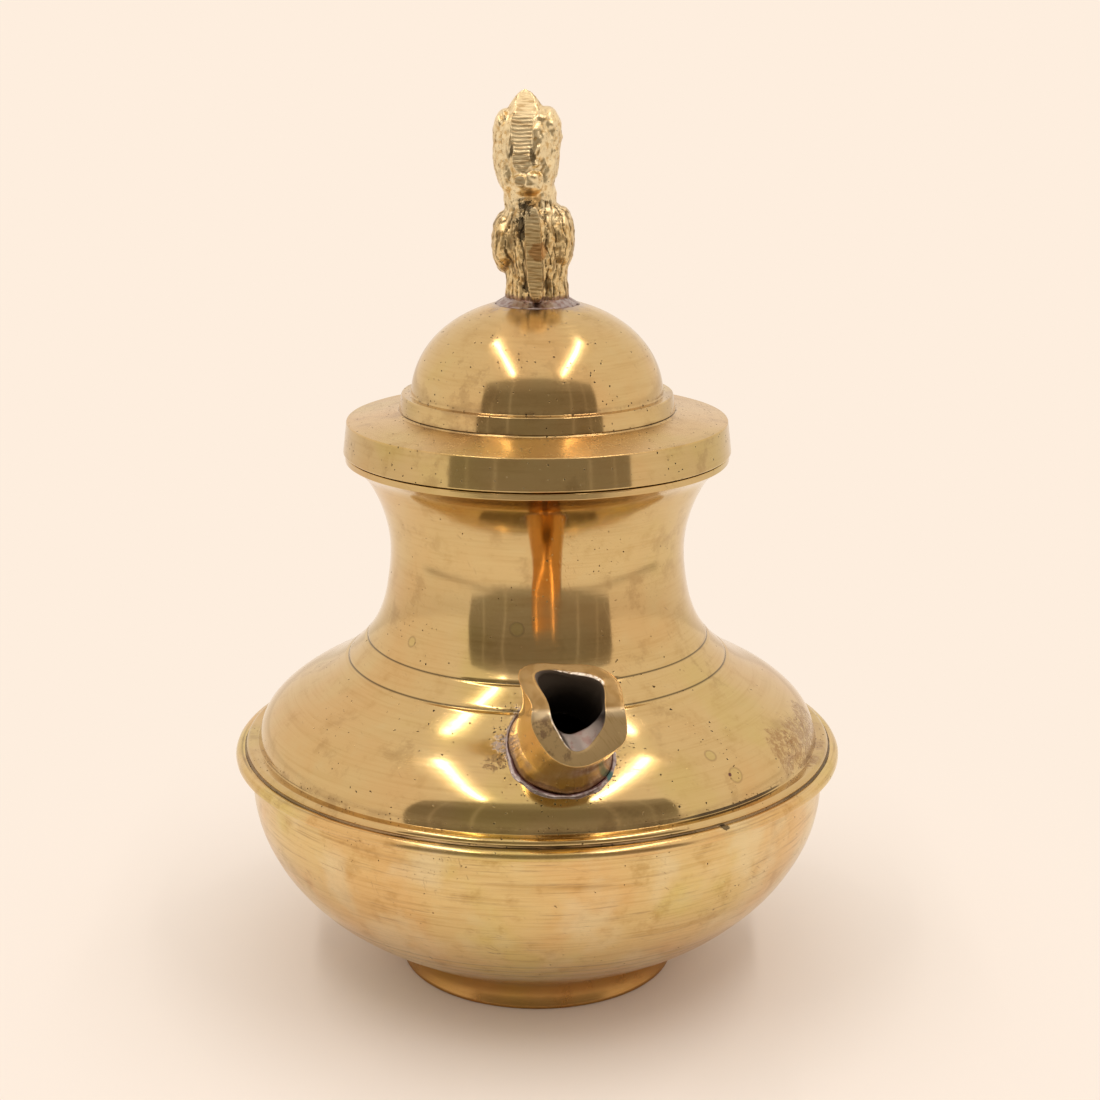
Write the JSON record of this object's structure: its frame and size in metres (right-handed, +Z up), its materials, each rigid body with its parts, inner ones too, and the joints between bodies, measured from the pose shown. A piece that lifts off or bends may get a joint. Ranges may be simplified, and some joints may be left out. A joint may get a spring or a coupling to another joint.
{
  "type": "ghee pot",
  "caption": "Round-bellied brass ghee pot on a foot ring, with a waisted neck, a short hand-cut pouring spout and a lift-off domed lid topped by a cast crested bird.",
  "frame": {"origin": "the floor under the pot, at the middle of the whole object's footprint box; the pot's turning axis stands 5.6 mm towards +Y from it, because the spout reaches past the pot's widest ring", "axes": "+Z up along the turning axis; -Y the way the spout points; +X to the right for someone who faces the spout"},
  "size_m": [0.15, 0.1612, 0.2167],
  "materials": {
    "foot_brass": "turned brass, darkened",
    "bowl_brass": "spun brass, worn polish",
    "body_brass": "spun brass, polished, with fine turning marks",
    "spout_brass": "brass tube, heat stained at its foot and filed at its mouth",
    "lid_brass": "turned brass, polished",
    "cast_brass": "cast brass, filed and chiselled, dark in its hollows",
    "solder": "grey solder, pitted and heat stained"
  },
  "bodies": {
    "pot": {"foot_ring": "foot_brass", "foot_solder": "solder", "bowl": "bowl_brass", "girdle_solder": "solder", "upper_body": "body_brass", "spout": "spout_brass", "spout_solder": "solder"},
    "lid": {"lid_brim": "lid_brass", "lid_dome": "lid_brass", "dome_solder": "solder", "lid_collar": "lid_brass", "collar_solder": "solder", "finial": "cast_brass", "finial_solder": "solder"}
  },
  "joints": [
    {"name": "lid_lift", "type": "slide", "parent": "pot", "child": "lid", "axis": [0, 0, 1], "range_m": [0, 0.06]}
  ]
}
